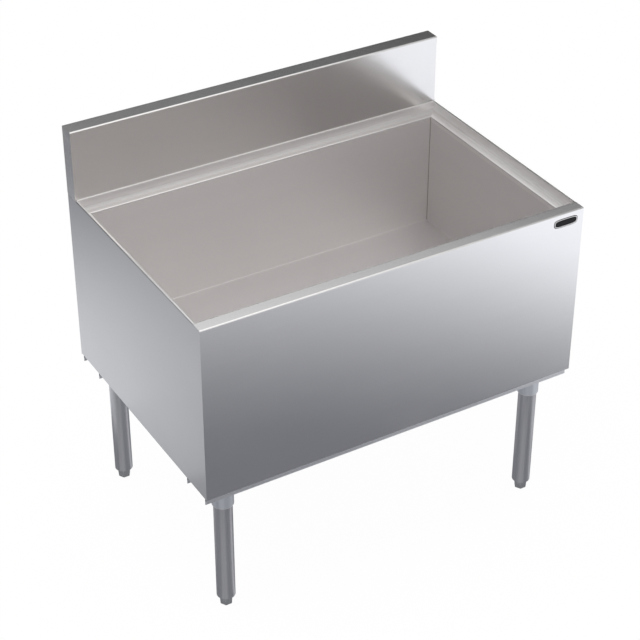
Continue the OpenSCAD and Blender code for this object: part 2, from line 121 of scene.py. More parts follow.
def tube_surface(rings):
    """Points and faces of a skin over rings that come back to the first one, as on a tube with a wall."""
    rows, columns = rings.shape[:2]
    return rings.reshape(-1, 3), grid_faces(rows, columns, wrap_columns=True, wrap_rows=True).tolist()


def mesh_piece(name, surface, body, material, sharp=SHARP_FROM):
    """An object from points in millimetres and faces, smooth but for edges sharper than an angle, on a body.

    The sum of the triple products of the faces' corners is six times the signed volume under them;
    where it is below nought the faces are turned round, so they always point outwards.
    """
    points, faces = surface
    fans = np.array([(f[0], f[k], f[k + 1]) for f in faces for k in range(1, len(f) - 1)])
    a, b, c = (points[fans[:, k]] - points.mean(axis=0) for k in range(3))
    if np.einsum("ij,ij->i", a, np.cross(b, c)).sum() < 0:
        faces = [f[::-1] for f in faces]
    mesh = bpy.data.meshes.new(name)
    mesh.from_pydata((points * MM).tolist(), [], faces)
    mesh.polygons.foreach_set("use_smooth", np.ones(len(mesh.polygons), bool))
    mesh.set_sharp_from_angle(angle=math.radians(sharp))
    mesh.materials.append(material)
    piece = bpy.data.objects.new(name, mesh)
    bpy.context.scene.collection.objects.link(piece)
    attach(piece, body)
    return piece


def turned(radius, heights, angles, centre):
    """Rings about an upright axis: the centre plus the radius times cosine and sine, at each height."""
    x = centre[0] + radius * np.cos(angles)
    y = centre[1] + radius * np.sin(angles)
    return np.stack([x, y, np.broadcast_to(heights, x.shape)], axis=-1)


def around(columns):
    """A row of angles that part one full turn equally."""
    return np.arange(columns)[None, :] * (2 * math.pi / columns)


# Node graphs

MIX_SHARE, MIX_FIRST, MIX_SECOND, MIX_COLOUR = 0, 6, 7, 2


class Graph:
    """A material's nodes, joined by short calls; a value is a number, a colour or another node's output."""

    def __init__(self, name):
        self.material = bpy.data.materials.new(name)
        self.material.use_nodes = True
        self.nodes = self.material.node_tree.nodes
        self.links = self.material.node_tree.links
        self.nodes.clear()

    def add(self, kind, inputs=None, **settings):
        """A new node with its settings, and its inputs fed by number or name."""
        node = self.nodes.new(kind)
        for key, value in settings.items():
            setattr(node, key, value)
        for key, value in (inputs or {}).items():
            self.feed(node.inputs[key], value)
        return node

    def feed(self, socket, value):
        """Links a node's output to a socket, or sets a plain value on the socket itself."""
        if isinstance(value, bpy.types.NodeSocket):
            self.links.new(value, socket)
        else:
            socket.default_value = value

    def math(self, operation, *values):
        """One sum on numbers."""
        return self.add("ShaderNodeMath", dict(enumerate(values)), operation=operation).outputs[0]

    def coords(self):
        """The object's own coordinates, in metres."""
        return self.add("ShaderNodeTexCoord").outputs["Object"]

    def parts(self, vector):
        """The three parts of a vector: across, deep and up."""
        return self.add("ShaderNodeSeparateXYZ", {0: vector}).outputs

    def height(self):
        """How high the point lies, in metres."""
        return self.parts(self.coords())[UP]

    def vector(self, operation, first, second, output="Vector"):
        """One sum on two vectors."""
        node = self.add("ShaderNodeVectorMath", {0: first, 1: second}, operation=operation)
        return node.outputs[output]

    def dot(self, first, second):
        """The sum of the products of two vectors' parts."""
        return self.vector("DOT_PRODUCT", first, second, "Value")

    def place(self, stretch=(1, 1, 1), origin=(0, 0, 0)):
        """The coordinates from an origin, times a factor on each axis."""
        return self.vector("MULTIPLY", self.vector("SUBTRACT", self.coords(), origin), stretch)

    def noise(self, where, detail=2.0, roughness=0.5):
        """Noise from 0 to 1 with features one unit across."""
        inputs = {"Vector": where, "Scale": 1.0, "Detail": detail, "Roughness": roughness}
        return self.add("ShaderNodeTexNoise", inputs).outputs["Fac"]

    def cloud(self, features, detail=2.0, roughness=0.5):
        """Noise with as many features to the metre on every axis."""
        return self.noise(self.place((features, features, features)), detail, roughness)

    def ramp(self, value, low, high, to_low=0.0, to_high=1.0):
        """Carries a value from one range to another, held at both ends."""
        inputs = {"Value": value, "From Min": low, "From Max": high, "To Min": to_low, "To Max": to_high}
        return self.add("ShaderNodeMapRange", inputs).outputs[0]

    def below(self, value, low, high):
        """1 up to the low end, 0 from the high end, and straight in between."""
        return self.ramp(value, low, high, 1.0, 0.0)

    def mix(self, share, first, second):
        """The first colour at share 0 and the second at share 1."""
        inputs = {MIX_SHARE: share, MIX_FIRST: first, MIX_SECOND: second}
        return self.add("ShaderNodeMix", inputs, data_type="RGBA").outputs[MIX_COLOUR]

    def bump(self, height, strength, distance):
        """A normal that leans with a height from 0 to 1, which stands for a distance in metres."""
        inputs = {"Height": height, "Strength": strength, "Distance": distance}
        return self.add("ShaderNodeBump", inputs).outputs[0]

    def surface(self, colour, rough, normal, metallic=0.0, **uniform):
        """Ends the graph in a principled shader; uniform values go on the shader's own sockets."""
        inputs = {"Base Color": colour, "Roughness": rough, "Normal": normal, "Metallic": metallic}
        inputs.update(uniform)
        return self.finish(self.add("ShaderNodeBsdfPrincipled", inputs))

    def finish(self, shader):
        """Links a shader to the material's output and gives the material back."""
        self.links.new(shader.outputs[0], self.add("ShaderNodeOutputMaterial").inputs["Surface"])
        return self.material


# Finishes: colours, roughness, and what all of them share

SHELL = (0.724, 0.718, 0.712)
# The backsplash: a lighter copy of the shell's steel, painted light, with darker copies for its right end and
# its top, painted shade.
SPLASH = (0.805, 0.796, 0.786)
SPLASH_SHADED = (0.695, 0.688, 0.680)
SPLASH_TOP_SHADE = (0.70, 0.695, 0.69)
# The backsplash's end caps: a lighter copy of the shell's steel, painted light, and a darker one for their
# top, painted shade.
SPLASH_END = (0.82, 0.805, 0.775)
END_TOP_SHADE = (0.68, 0.67, 0.65)
# The ledge's drop face: lighter than its flat, painted light.
LEDGE_DROP_LIGHT = (0.88, 0.865, 0.86)
# A darker strip under the ledge's lip, painted shadow.
LIP_SHADOW = (0.60, 0.585, 0.58)
# The tank: a lighter copy of the shell's steel, painted light inside it, with darker copies on its floor and
# end walls, painted shade.
LINER = (0.895, 0.874, 0.87)
TANK_FLOOR_SHADE = (0.79, 0.772, 0.768)
TANK_END = (0.83, 0.811, 0.807)
TUBE = (0.66, 0.655, 0.66)
SOCKET = (0.77, 0.787, 0.815)
CHANNEL = (0.80, 0.80, 0.81)
CAST = (0.66, 0.67, 0.655)
WELD = (0.42, 0.41, 0.40)
# Near-white steel; on the sockets' lower edge it is a painted highlight.
BRIGHT = (0.97, 0.965, 0.955, 1)
LIP = (0.70, 0.69, 0.68)
FOAM = (0.86, 0.76, 0.52)
RUBBER = (0.03, 0.03, 0.032)
PLASTIC = (0.05, 0.05, 0.052)
ENAMEL = (0.006, 0.006, 0.007)
WHITE = (1, 1, 1, 1)

SHELL_ROUGH = 0.22
BRIGHT_ROUGH = 0.3
CHANNEL_ROUGH = 0.4
LEDGE_ROUGH = 0.42
TANK_ROUGH = 0.48
TUBE_ROUGH = 0.31
SOCKET_ROUGH = 0.48
TURNED_ROUGH = 0.28
CAST_ROUGH = 0.4
RUBBER_ROUGH = 0.6
PLASTIC_ROUGH = 0.42

METAL = 1.0
FINE_DEPTH = 0.1 * MM
MOST = (0.3, 0.7)
MIDDLE = (0.35, 0.65)
UPPER = (0.35, 0.7)


def shade(colour, factor):
    """A colour times a factor, opaque."""
    return tuple(c * factor for c in colour[:3]) + (1.0,)


def stretched(along, features):
    """Factors for the three axes: so many features to the metre along one of them, so many across it."""
    run, across = features
    return tuple(run if axis == along else across for axis in range(3))


# Satin sheet: features to the metre along the grain and across it

GRAIN = (14, 2600)
BELT = (1.2, 22)
WIPES = 4.5
GRAIN_SHARE = 0.6
GRAIN_ROUGHENS = 0.03
GRAIN_BUMP = 0.012
WIPES_SHOW = (0.45, 0.75)
WIPES_ROUGHEN = 0.02
SATIN_SHADES = (0.985, 1.012)


def satin(g, along, rough):
    """Satin sheet: fine grain along one axis, slow bands left by the polishing belt, and faint wipe marks.

    The tone is a share of the grain plus the rest of the bands; the roughness swings with the grain and
    rises in the wipe marks.
    """
    grain = g.noise(g.place(stretched(along, GRAIN)), detail=3)
    belt = g.noise(g.place(stretched(along, BELT)), detail=2)
    wipes = g.cloud(WIPES, detail=4, roughness=0.6)
    tone = g.math("ADD", g.ramp(grain, *MOST, 0.0, GRAIN_SHARE), g.ramp(belt, *MOST, 0.0, 1 - GRAIN_SHARE))
    roughness = g.math("ADD", g.ramp(grain, *MOST, rough - GRAIN_ROUGHENS, rough + GRAIN_ROUGHENS),
                       g.ramp(wipes, *WIPES_SHOW, 0.0, WIPES_ROUGHEN))
    return tone, roughness, g.bump(grain, GRAIN_BUMP, FINE_DEPTH)


def tinted(g, tone, colour, shades=SATIN_SHADES):
    """A colour that goes from its darker to its lighter shade with the tone."""
    dark, light = shades
    return g.mix(tone, shade(colour, dark), shade(colour, light))


def brushed_steel(name, colour, along, rough):
    """Satin sheet with no wear of its own."""
    g = Graph(name)
    tone, roughness, normal = satin(g, along, rough)
    return g.surface(tinted(g, tone, colour), roughness, normal, METAL)


# Ledge: heights on its profile, how far past the tank's lip its cove begins, and how much painted light
# lightens its ends

LIP_X = 433.0 * MM
LIP_Y = 242.7 * MM
LIP_FOOT = (738.2 * MM, 738.6 * MM)
BEND_FOOT = (740.3 * MM, 740.6 * MM)
BEND_TOP = (741.0 * MM, 741.5 * MM)
COVE_FADES = (743.6 * MM, 751.6 * MM)
MITRE_REACH = (2.0 * MM, 6.0 * MM)
# Where the painted light on the ledge's rear ends begins and is full, by the way deep.
PAINTED_LIGHT_FROM = (40.0 * MM, 200.0 * MM)
DULL_ROUGHENS = 0.06
# Each cove colour is a darker copy of the flat one, painted shade.
REAR_LEDGE = {
    "flat_colour": (0.735, 0.722, 0.717),
    "cove_shade_colour": (0.555, 0.546, 0.5415),
    "cove_from": (13.0 * MM, 17.5 * MM),
    "drop_from": (745.4 * MM, 752.0 * MM),
    "painted_light": 1.0,
}
# The side ledges' colours are lighter copies of the rear ledge's, painted light.
SIDE_LEDGE = {
    "flat_colour": (0.80, 0.785, 0.78),
    "cove_shade_colour": (0.595, 0.585, 0.58),
    "cove_from": (8.8 * MM, 15.0 * MM),
    "drop_from": (743.6 * MM, 748.0 * MM),
    "painted_light": 1.17,
}


def ledge_steel(name, along, flat_colour, cove_shade_colour, cove_from, drop_from, painted_light):
    """The ledge's sheet, worn differently at each place of its profile, and painted with shade and light.

    It is dressed by hand along its mitres, where the way past the side lip and the way past the rear lip
    are the same, and dull in the cove, where a cloth can't reach. The cove also takes a darker colour,
    painted shade, and the drop face above it a lighter one, painted light. Its bend is worn smoother, the
    strip just below that is darker, a painted shadow under the lip, and the rest below is the satin of the
    tank it is welded to. Towards the rear corners its colour is times the painted light factor, which
    lightens it there.
    """
    g = Graph(name)
    tone, roughness, normal = satin(g, along, LEDGE_ROUGH)
    x, y, z = g.parts(g.coords())
    past_side = g.math("SUBTRACT", g.math("ABSOLUTE", x), LIP_X)
    past_rear = g.math("SUBTRACT", y, LIP_Y)
    off_mitre = g.math("ABSOLUTE", g.math("SUBTRACT", past_side, past_rear))
    dressed = g.below(off_mitre, *MITRE_REACH)
    inner = g.below(z, *BEND_FOOT)
    bend = g.math("MULTIPLY", g.below(z, *BEND_TOP), g.math("SUBTRACT", 1.0, inner))
    past_lip = g.math("MAXIMUM", past_side, past_rear)
    cove = g.math("MULTIPLY", g.below(z, *COVE_FADES), g.ramp(past_lip, *cove_from))
    # Painted shadow: the strip just under the lip's bend.
    under = g.math("MULTIPLY", inner, g.ramp(z, *LIP_FOOT))
    # Painted light: the colour is times a factor that grows towards the rear corners.
    painted_light_factor = g.ramp(y, *PAINTED_LIGHT_FROM, 1.0, painted_light)

    dull = g.math("MULTIPLY", g.math("MAXIMUM", dressed, cove), DULL_ROUGHENS)
    roughness = g.math("ADD", roughness, dull)
    roughness = g.math("ADD", roughness, g.math("MULTIPLY", inner, TANK_ROUGH - LEDGE_ROUGH))
    roughness = g.math("SUBTRACT", roughness, g.math("MULTIPLY", bend, LEDGE_ROUGH - BRIGHT_ROUGH))

    # Painted shade: a darker colour in the cove.
    colour = g.mix(cove, tinted(g, tone, flat_colour), tinted(g, tone, cove_shade_colour))
    # Painted light: a lighter colour up the drop face.
    colour = g.mix(g.ramp(z, *drop_from), colour, tinted(g, tone, LEDGE_DROP_LIGHT))
    # Painted light towards the rear corners.
    colour = g.vector("MINIMUM", g.vector("MULTIPLY", colour, painted_light_factor), WHITE[:3])
    colour = g.mix(inner, colour, tinted(g, tone, LINER))
    # Painted shadow under the lip.
    colour = g.mix(under, colour, tinted(g, tone, LIP_SHADOW))
    # The bend takes the painted light too.
    colour = g.mix(bend, colour, g.vector("MULTIPLY", LIP, painted_light_factor))
    return g.surface(colour, roughness, normal, METAL)


# Backsplash, tank and channels

# Where the backsplash's painted shade towards its right end begins and is full.
SPLASH_SHADE_FROM = (0.05, 0.35)
SPLASH_EDGE = (928.5 * MM, 929.0 * MM)
# Where the painted shade over the end caps' top begins and is full.
END_TOP_SHADE_FROM = (908.0 * MM, 922.0 * MM)
FLOOR_SCOUR_AND_SHADE_UP_TO = (462.0 * MM, 464.0 * MM)
SCOUR_ROUGHENS = 0.04
# Painted shadow along the channels' top, under the shell's edge: where it starts, and how dark.
APRON_SHADOW_FROM = (339.4 * MM, 340.6 * MM)
APRON_SHADOW = 0.3


def splash_steel(name, along):
    """The backsplash's sheet: painted light at its left, painted shade towards its right end and on its top.
    """
    g = Graph(name)
    tone, roughness, normal = satin(g, along, SHELL_ROUGH)
    x, _, z = g.parts(g.coords())
    # Painted light and shade: lighter at the left, darker from the middle to the right end.
    colour = g.mix(g.ramp(x, *SPLASH_SHADE_FROM), tinted(g, tone, SPLASH), tinted(g, tone, SPLASH_SHADED))
    # Painted shade: darker over the top face.
    colour = g.mix(g.ramp(z, *SPLASH_EDGE), colour, tinted(g, tone, SPLASH_TOP_SHADE))
    return g.surface(colour, roughness, normal, METAL)


def splash_end_steel(name, along):
    """The backsplash's end caps: lighter than the shell, painted light, and darker over their top, painted
    shade.
    """
    g = Graph(name)
    tone, roughness, normal = satin(g, along, SHELL_ROUGH)
    # Painted shade: darker over the last of the end caps' height.
    top_shade = g.ramp(g.height(), *END_TOP_SHADE_FROM)
    colour = g.mix(top_shade, tinted(g, tone, SPLASH_END), tinted(g, tone, END_TOP_SHADE))
    return g.surface(colour, roughness, normal, METAL)


def tank_steel(name, along):
    """The tank's sheet: duller on the floor, where ice and scoops scour it, and darker there, painted shade.
    """
    g = Graph(name)
    tone, roughness, normal = satin(g, along, TANK_ROUGH)
    # The floor: rougher from scouring, and darker in colour as painted shade.
    scour_and_shade = g.below(g.height(), *FLOOR_SCOUR_AND_SHADE_UP_TO)
    roughness = g.math("ADD", roughness, g.math("MULTIPLY", scour_and_shade, SCOUR_ROUGHENS))
    # Painted shade: a darker colour on the tank's floor.
    colour = g.mix(scour_and_shade, tinted(g, tone, LINER), tinted(g, tone, TANK_FLOOR_SHADE))
    return g.surface(colour, roughness, normal, METAL)


def channel_steel(name, along):
    """The leg channels' sheet: duller than the shell, with a painted shadow along its top, under the shell's
    edge.
    """
    g = Graph(name)
    tone, roughness, normal = satin(g, along, CHANNEL_ROUGH)
    # Painted shadow: darker at the top, under the shell's edge.
    apron_shadow = g.ramp(g.height(), *APRON_SHADOW_FROM)
    colour = g.mix(apron_shadow, tinted(g, tone, CHANNEL), shade(CHANNEL, APRON_SHADOW))
    return g.surface(colour, roughness, normal, METAL)


# Drawn tube

FINE_LINES = (9, 1800)
WIDE_LINES = (1.5, 190)
SCUFFS = (25, 60)
FINE_SHARE = 0.15
LINES_ROUGHEN = (-0.02, 0.03)
LINE_BUMP = 0.006
SCUFFS_SHOW = (0.55, 0.75)
SCUFFS_ROUGHEN = 0.06
TUBE_SHADES = (0.95, 1.04)
# Where the painted highlight on the sockets' lower edge lies.
SOCKET_HIGHLIGHT_AT = (278.5 * MM, 279.3 * MM)


def drawn(g, rough):
    """Drawn tube: lines along its length, a few of them wide enough to see, over a fine polishing grain.

    The tone is a share of the fine lines plus the rest of the wide ones.
    """
    fine = g.noise(g.place(stretched(UP, FINE_LINES)), detail=3)
    wide = g.noise(g.place(stretched(UP, WIDE_LINES)), detail=2)
    scuff = g.noise(g.place(stretched(UP, SCUFFS)), detail=5, roughness=0.65)
    tone = g.math("ADD", g.ramp(fine, *MOST, 0.0, FINE_SHARE), g.ramp(wide, *MIDDLE, 0.0, 1 - FINE_SHARE))
    smooth, dull = LINES_ROUGHEN
    roughness = g.math("ADD", g.ramp(wide, *MIDDLE, rough + smooth, rough + dull),
                       g.ramp(scuff, *SCUFFS_SHOW, 0.0, SCUFFS_ROUGHEN))
    return tone, roughness, g.bump(fine, LINE_BUMP, FINE_DEPTH)


def drawn_tube(name):
    """The legs' tube, as it is drawn."""
    g = Graph(name)
    tone, roughness, normal = drawn(g, TUBE_ROUGH)
    return g.surface(tinted(g, tone, TUBE, TUBE_SHADES), roughness, normal, METAL)


def socket_steel(name):
    """The leg sockets' tube, with a painted highlight along its lower edge."""
    g = Graph(name)
    tone, roughness, normal = drawn(g, SOCKET_ROUGH)
    # Painted highlight: a near-white band at the lower edge.
    edge = g.below(g.height(), *SOCKET_HIGHLIGHT_AT)
    colour = g.mix(edge, tinted(g, tone, SOCKET, TUBE_SHADES), BRIGHT)
    return g.surface(colour, roughness, normal, METAL)


# Turned, cast and welded steel

DRAIN_Y = -16.05
RINGS = 2200
RINGS_ROUGHEN = 0.04
RING_BUMP = 0.05
STAINS = 45
STAINS_SHOW = (0.5, 0.75)
STAINS_ROUGHEN = 0.1
TURNED_SHADES = (0.95, 1.03)

SAND = 900
SAND_LOWS = (0.3, 0.6)
SAND_ROUGHENS = (0.08, -0.06)
SAND_BUMP = (0.18, 0.25 * MM)
LUMPS = 120
LUMPS_SHOW = (0.25, 0.65)
LUMPS_LEAST = 0.5
CAST_SHADES = (0.72, 1.08)

HEAT = 70
STRAW = (1.1, 1.0, 0.86)
SCRATCHES = 1500
WELD_ROUGH = (0.34, 0.5)
SCRATCH_BUMP = (0.1, 0.15 * MM)


def turned_steel(name):
    """Turned steel: rings about the drain's axis, from noise of the distance to it and the height."""
    g = Graph(name)
    x, y, z = g.parts(g.place(origin=(0, DRAIN_Y * MM, 0)))
    reach = g.math("SQRT", g.math("ADD", g.math("MULTIPLY", x, x), g.math("MULTIPLY", y, y)))
    where = g.add("ShaderNodeCombineXYZ", {
        0: g.math("MULTIPLY", reach, RINGS),
        1: g.math("MULTIPLY", z, RINGS),
    })
    rings = g.noise(where.outputs[0], detail=2)
    stains = g.cloud(STAINS, detail=4, roughness=0.6)
    colour = tinted(g, g.ramp(rings, *MOST), SHELL, TURNED_SHADES)
    rough = g.ramp(rings, *MOST, TURNED_ROUGH - RINGS_ROUGHEN, TURNED_ROUGH + RINGS_ROUGHEN)
    roughness = g.math("ADD", rough, g.ramp(stains, *STAINS_SHOW, 0.0, STAINS_ROUGHEN))
    return g.surface(colour, roughness, g.bump(rings, RING_BUMP, FINE_DEPTH), METAL)


def cast_metal(name):
    """Cast steel: pitted by the sand of its mould, with darker dirt in the low spots."""
    g = Graph(name)
    sand = g.cloud(SAND, detail=4, roughness=0.6)
    lumps = g.cloud(LUMPS, detail=3)
    low = g.math("MULTIPLY", g.ramp(sand, *SAND_LOWS), g.ramp(lumps, *LUMPS_SHOW, LUMPS_LEAST, 1.0))
    dull, smooth = SAND_ROUGHENS
    roughness = g.ramp(sand, *MOST, CAST_ROUGH + dull, CAST_ROUGH + smooth)
    return g.surface(tinted(g, low, CAST, CAST_SHADES), roughness, g.bump(sand, *SAND_BUMP), METAL)


def weld_metal(name):
    """A dressed weld: duller than the sheet, with a straw tint that comes and goes along it."""
    g = Graph(name)
    heat = g.cloud(HEAT, detail=3)
    scratches = g.cloud(SCRATCHES, detail=3)
    straw = tuple(c * s for c, s in zip(WELD, STRAW)) + (1.0,)
    colour = g.mix(g.ramp(heat, *UPPER), shade(WELD, 1.0), straw)
    return g.surface(colour, g.ramp(scratches, *MOST, *WELD_ROUGH), g.bump(scratches, *SCRATCH_BUMP), METAL)


# Foam, rubber, plastic and enamel

CELLS = 620
CELLS_SHOW = (0.1, 0.7)
CELL_BUMP = (0.5, 0.4 * MM)
SKIN_CLOUDS = 26
CLOUDS_LEAST = 0.5
FOAM_SHADES = (0.82, 1.04)
FOAM_ROUGH = (0.72, 0.9)

RUBBER_TEXTURE = 700
PLASTIC_TEXTURE = 1400
TEXTURE_ROUGHENS = 0.07
TEXTURE_BUMP = (0.15, 0.15 * MM)
WEAR = 60
MOULDED_SHADES = (0.85, 1.5)

PEEL = 520
PEEL_BUMP = (0.06, 0.2 * MM)
HAZE = 90
ENAMEL_SHADES = (0.8, 1.5)
ENAMEL_ROUGH = (0.24, 0.36)
ENAMEL_GLOSS = 0.12


def cell_foam(name):
    """Rigid poured foam: fine closed cells with a darker skin where it met the sheet."""
    g = Graph(name)
    cells = g.add("ShaderNodeTexVoronoi", {"Vector": g.place((CELLS, CELLS, CELLS)), "Scale": 1.0})
    cells = cells.outputs["Distance"]
    clouds = g.cloud(SKIN_CLOUDS, detail=5, roughness=0.6)
    tone = g.math("MULTIPLY", g.ramp(cells, *CELLS_SHOW), g.ramp(clouds, *MOST, CLOUDS_LEAST, 1.0))
    roughness = g.ramp(clouds, *MOST, *FOAM_ROUGH)
    return g.surface(tinted(g, tone, FOAM, FOAM_SHADES), roughness, g.bump(cells, *CELL_BUMP))


def moulded(name, colour, rough, texture):
    """Moulded rubber or plastic: a fine even texture with faint cloudy wear."""
    g = Graph(name)
    skin = g.cloud(texture, detail=3)
    wear = g.cloud(WEAR, detail=4, roughness=0.6)
    roughness = g.ramp(skin, *MOST, rough - TEXTURE_ROUGHENS, rough + TEXTURE_ROUGHENS)
    colour = tinted(g, g.ramp(wear, *UPPER), colour, MOULDED_SHADES)
    return g.surface(colour, roughness, g.bump(skin, *TEXTURE_BUMP))


def black_enamel(name):
    """Baked enamel: nearly smooth, with a faint orange-peel ripple."""
    g = Graph(name)
    peel = g.cloud(PEEL, detail=2)
    haze = g.cloud(HAZE, detail=4)
    return g.surface(tinted(g, haze, ENAMEL, ENAMEL_SHADES), g.ramp(haze, *MOST, *ENAMEL_ROUGH),
                     g.bump(peel, *PEEL_BUMP), **{"Specular IOR Level": ENAMEL_GLOSS})


def make_finishes():
    """Every finish by its short name."""
    return {
        "shell": brushed_steel("shell_steel_grain_across", SHELL, ACROSS, SHELL_ROUGH),
        "side": brushed_steel("shell_steel_grain_deep", SHELL, DEEP, SHELL_ROUGH),
        "splash": splash_steel("splash_steel", ACROSS),
        "splash_end": splash_end_steel("shell_steel_grain_up", UP),
        "channel": channel_steel("channel_steel", ACROSS),
        "rear_ledge": ledge_steel("ledge_steel_grain_across", ACROSS, **REAR_LEDGE),
        "side_ledge": ledge_steel("ledge_steel_grain_deep", DEEP, **SIDE_LEDGE),
        "tank": tank_steel("tank_steel_grain_across", ACROSS),
        # The tank's end walls: a darker copy of its sheet, painted shade.
        "tank_end": brushed_steel("tank_steel_grain_deep", TANK_END, DEEP, TANK_ROUGH),
        "tube": drawn_tube("leg_tube_steel"),
        "socket": socket_steel("socket_steel"),
        "turned": turned_steel("turned_drain_steel"),
        "cast": cast_metal("cast_foot_metal"),
        "weld": weld_metal("dressed_weld"),
        "foam": cell_foam("poured_foam"),
        "rubber": moulded("gasket_rubber", RUBBER, RUBBER_ROUGH, RUBBER_TEXTURE),
        "plastic": moulded("plug_plastic", PLASTIC, PLASTIC_ROUGH, PLASTIC_TEXTURE),
        "enamel": black_enamel("plate_enamel"),
        "rim": brushed_steel("plate_rim_steel", BRIGHT, ACROSS, BRIGHT_ROUGH),
        "bright": brushed_steel("bright_seam_steel", BRIGHT, ACROSS, BRIGHT_ROUGH),
    }


def dress(finishes):
    """Gives each CAD node its finish."""
    worn = {
        "shell": ["front_apron", "back_panel", "bottom_pan"],
        "side": ["left_side_panel", "right_side_panel"],
        "splash": ["backsplash_shell"],
        "splash_end": ["backsplash_end_left", "backsplash_end_right"],
        "channel": ["front_leg_channel", "rear_leg_channel"],
        "rear_ledge": ["ledge_rear"],
        "side_ledge": ["ledge_left", "ledge_right"],
        "tank": ["tank_wrap"],
        "tank_end": ["tank_end_left", "tank_end_right"],
        "turned": ["drain_cup", "drain_strainer", "drain_pipe", "drain_locknut"],
        "tube": ["leg_" + c for c in CORNERS],
        "socket": ["leg_socket_" + c for c in CORNERS],
        "cast": ["foot_" + c for c in CORNERS] + ["socket_set_screws"],
        "plastic": ["leg_plug_" + c for c in CORNERS],
        "foam": ["insulation"],
        "rubber": ["drain_gasket"],
    }
    for finish, names in worn.items():
        for name in names:
            mesh = NODES[name].data
            mesh.materials.clear()
            mesh.materials.append(finishes[finish])


# Threads

TURN_STEPS = 96
THREAD_ROWS = 8
THREAD_STEEP = 1.5
THREAD_CUT = 0.25


def thread_radius(angles, heights, crest, depth, pitch, low, high):
    """A screw thread's distance from its axis.

    A triangle wave of height / pitch less angle / a full turn is made steeper, moved down and clipped,
    which gives crests and roots with flats. The thread runs out to its root over one pitch at both ends.
    """
    wave = np.abs((heights / pitch - angles / (2 * math.pi)) % 1 * 2 - 1)
    ridge = np.clip(wave * THREAD_STEEP - THREAD_CUT, 0, 1)
    fade = np.clip(np.minimum(heights - low, high - heights) / pitch, 0, 1)
    return crest - depth * (1 - ridge * fade)


# Levelling feet, six-sided: a flat lies at its corner's radius times the cosine of 30 degrees

FOOT_FLAT_LOW = 14.3 * math.cos(math.pi / 6)
FOOT_FLAT_HIGH = 16.0 * math.cos(math.pi / 6)
FOOT_HEAD = 23.7
FOOT_SIDES = 6
CORNER_EASE = 36
STUD_R = 6.35
STUD_TOP = 68.7
STUD_PITCH = 1.954
STUD_DEPTH = 1.05
STUD_NECK = 1.0
STUD_POINT = 0.8
HEAD_PROFILE = np.array([
    (0, -1.1), (0.12, -0.55), (0.5, -0.14), (1.0, 0), (3, 0), (8, 0), (15, 0), (20, 0),
    (FOOT_HEAD - 1.1, 0), (FOOT_HEAD - 0.5, -0.12), (FOOT_HEAD - 0.15, -0.5), (FOOT_HEAD, -1.2),
])


def hexagon_radius(angles, flat):
    """Six flats at one distance with eased corners.

    Each flat's line lies at flat / cos(angle - its direction); the radius is the power mean of those
    lines, whose high power keeps the flats straight and only rounds where two of them meet.
    """
    side = 2 * math.pi / FOOT_SIDES
    towards = np.cos(angles[..., None] - side * (0.5 + np.arange(FOOT_SIDES)))
    return flat * (np.maximum(towards, 0) ** CORNER_EASE).sum(axis=-1) ** (-1 / CORNER_EASE)


def levelling_foot(corner, material):
    """A six-sided head that narrows downwards between eased edges, then its shoulder and threaded stud.

    The head's profile gives heights, and how far the flats there step in from the line between the
    lowest flat and the highest.
    """
    angles = around(TURN_STEPS)
    z, step = HEAD_PROFILE[:, :1], HEAD_PROFILE[:, 1:]
    flats = FOOT_FLAT_LOW + (FOOT_FLAT_HIGH - FOOT_FLAT_LOW) * z / FOOT_HEAD + step
    head = turned(hexagon_radius(angles, 1.0) * flats, z, angles, LEG_AT[corner])
    count = int((STUD_TOP - FOOT_HEAD) / STUD_PITCH * THREAD_ROWS)
    z = np.linspace(FOOT_HEAD, STUD_TOP, count)[:, None]
    radius = thread_radius(angles, z, STUD_R, STUD_DEPTH, STUD_PITCH, FOOT_HEAD + STUD_NECK,
                           STUD_TOP - STUD_POINT)
    stud = turned(radius, z, angles, LEG_AT[corner])
    surface = ring_surface(np.concatenate([head, stud]))
    piece = mesh_piece("levelling_foot_" + corner, surface, "foot_" + corner, material)
    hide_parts("foot_" + corner)


# Drain pipe

PIPE_R = 16.7
OUTLET_R = 16.5
PIPE_BORE = 13.3
PIPE_LOW = 301.1
OUTLET_TOP = 326.1
PIPE_TOP = 440.9
PIPE_PITCH = 2.209
PIPE_DEPTH = 1.1
PIPE_EASE = 0.3
PIPE_MOUTH = 0.5
SHOULDER_RISE = 0.05
SHOULDER_STEP = 0.25
THREAD_FROM = 0.4
THREAD_RISES = 0.6
THREAD_ENDS = 1.0
WALL_AT = (350.0, 400.0)


